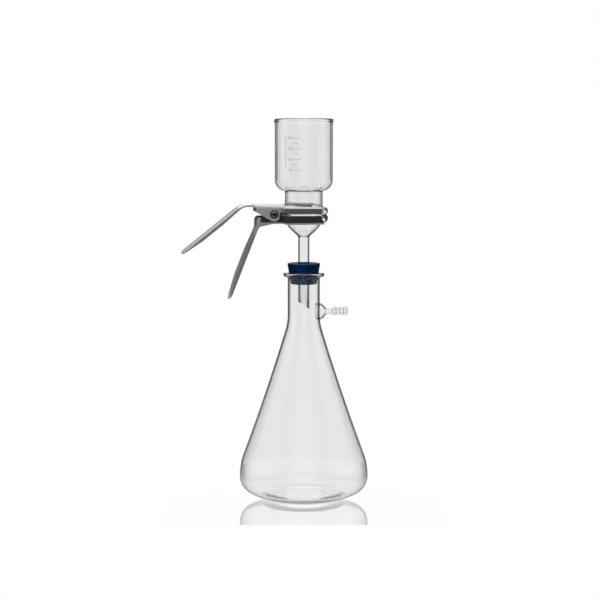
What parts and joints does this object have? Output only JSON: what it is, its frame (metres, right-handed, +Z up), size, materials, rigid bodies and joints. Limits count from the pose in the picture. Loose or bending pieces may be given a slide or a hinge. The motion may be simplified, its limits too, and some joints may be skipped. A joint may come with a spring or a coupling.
{
  "type": "vacuum filtration unit",
  "caption": "Glass filtration funnel clamped to a fritted glass base, standing in a rubber stopper on a side-arm filtering flask.",
  "frame": {"origin": "on the flask's axis, at the middle of its flat underside", "axes": "+Z up along the axis of the flask, base and funnel; +X along the flask's hose arm; the clamp's handles point to -X and its pivot pin lies along Y"},
  "size_m": [0.233, 0.1618, 0.4786],
  "materials": {
    "glass": "clear borosilicate glass, fire-polished",
    "stopper_rubber": "matt navy rubber",
    "frit": "white sintered glass, fine porous grain",
    "jaw_aluminium": "anodised stamped aluminium sheet, satin",
    "pin_steel": "dark steel rivet",
    "spring_steel": "drawn spring steel wire"
  },
  "bodies": {
    "unit": {"flask": "glass", "stopper": "stopper_rubber", "filter_base": "glass", "frit_disc": "frit", "funnel": "glass", "upper_jaw": "jaw_aluminium", "pivot_pin": "pin_steel", "pin_washer": "pin_steel", "torsion_spring": "spring_steel"},
    "lower_jaw": {"lower_jaw": "jaw_aluminium"}
  },
  "joints": [
    {"name": "clamp_squeeze", "type": "hinge", "parent": "unit", "child": "lower_jaw", "pos_m": [-0.0392, 0, 0.3612], "axis": [0, 1, 0], "range_deg": [0, 32], "stiffness_Nm_per_rad": 0.9, "springref_deg": -34.38, "deforming": ["torsion_spring"]}
  ]
}
